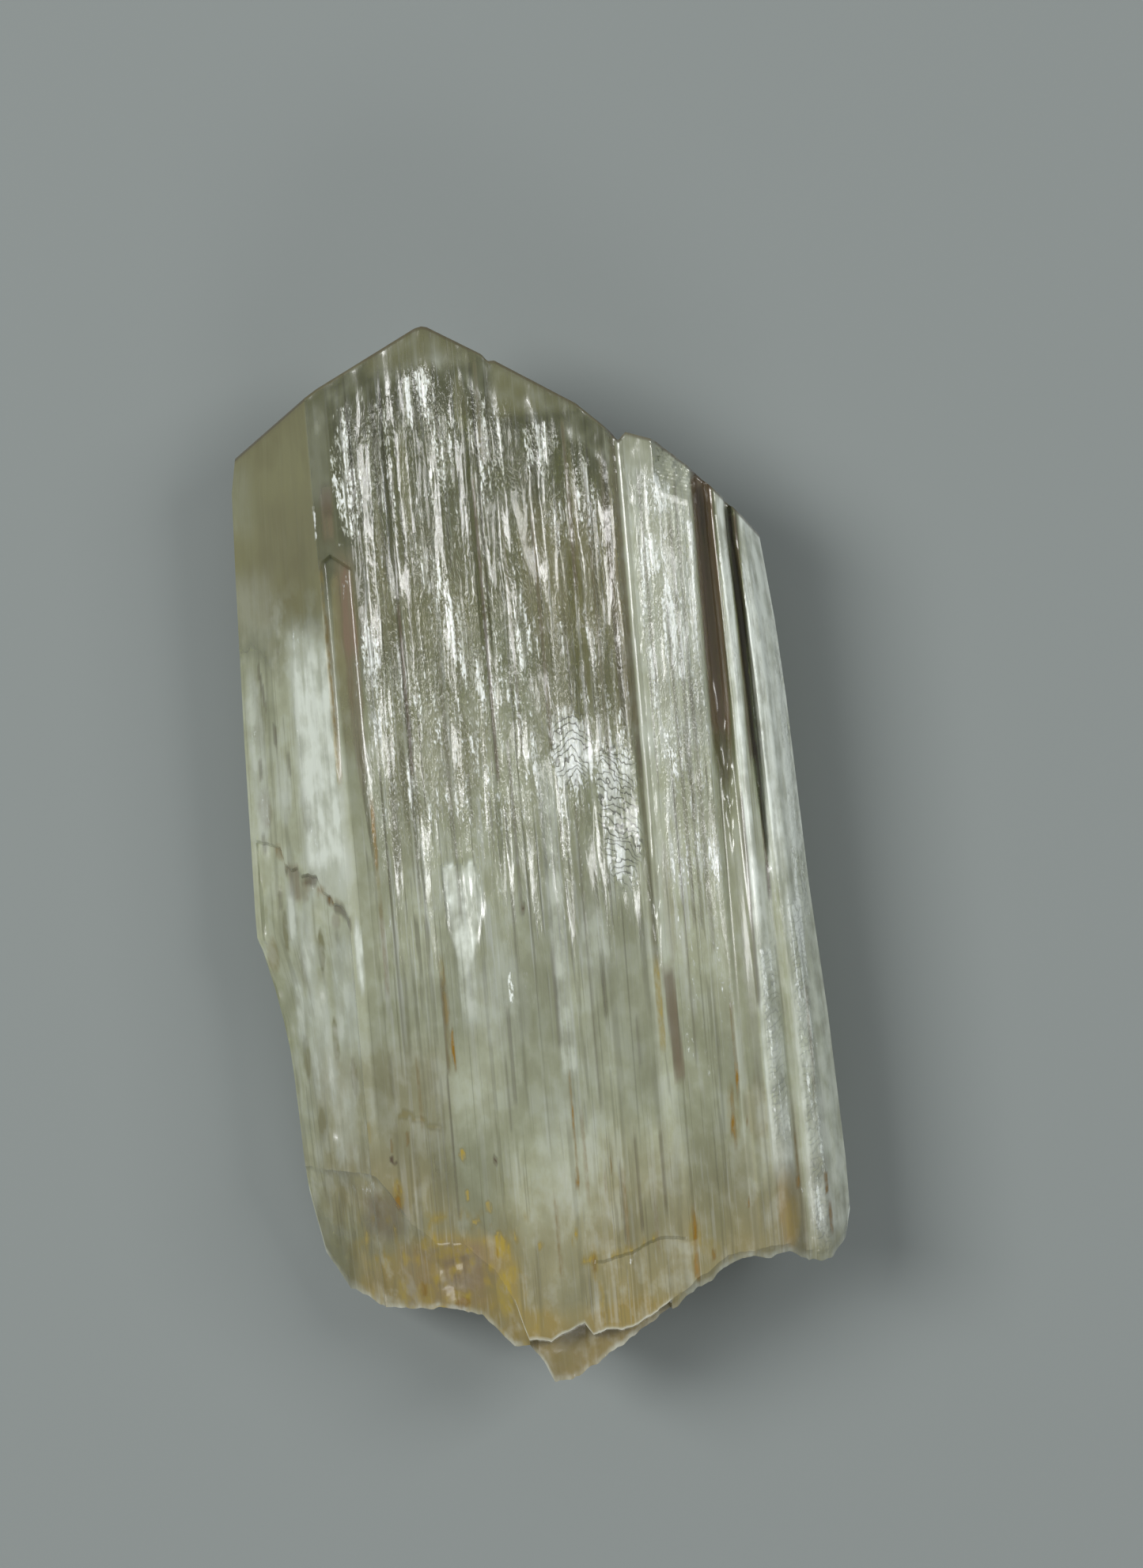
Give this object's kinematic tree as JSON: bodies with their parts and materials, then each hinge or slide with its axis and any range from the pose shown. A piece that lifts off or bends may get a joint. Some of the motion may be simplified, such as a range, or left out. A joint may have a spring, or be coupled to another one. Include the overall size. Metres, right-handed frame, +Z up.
{
  "type": "spodumene crystal",
  "caption": "Flat striated blade of clear pale green crystal, with a chisel-shaped roof at one end and a rough break at the other.",
  "frame": {"origin": "under the middle of the blade, on the surface it rests on", "axes": "+X across the blade, +Y along its length towards the roof, +Z up out of the broad striated front face"},
  "size_m": [0.0216, 0.04, 0.0074],
  "materials": {
    "crystal": "vitreous, striated along the length, milky and iron-stained towards the broken end"
  },
  "bodies": {
    "root": {"crystal": "crystal"}
  },
  "joints": []
}
